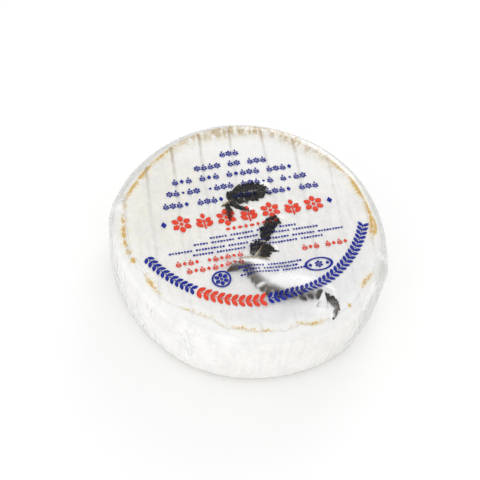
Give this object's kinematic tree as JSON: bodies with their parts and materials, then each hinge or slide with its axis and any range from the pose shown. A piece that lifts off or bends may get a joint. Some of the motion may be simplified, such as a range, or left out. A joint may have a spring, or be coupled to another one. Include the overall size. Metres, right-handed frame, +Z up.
{
  "type": "soft cheese wheel",
  "caption": "Round soft cheese with a white mould rind, wrapped in thin clear printed film, with dried fern under the film on its face.",
  "frame": {"origin": "under the middle of the wheel's bounding box, on the surface that it lies on", "axes": "+Z up, out of the face with the fern; +X to the right and +Y away, as the picture shows the face"},
  "size_m": [0.1604, 0.161, 0.044],
  "materials": {
    "wrapped_rind": "white mould rind seen through thin clear film",
    "rind": "velvety white mould, ochre where it is rubbed off at the rim and along the mat lines",
    "film": "thin clear film, glossy, slightly milky in its folds",
    "blue_print": "blue ink on film",
    "red_print": "red ink on film",
    "fern": "dried, near black, olive and brown at the edges",
    "stalk": "dry straw"
  },
  "bodies": {
    "root": {"cheese_wheel": "wrapped_rind", "fern_upper": "fern", "fern_lower": "fern"}
  },
  "joints": []
}
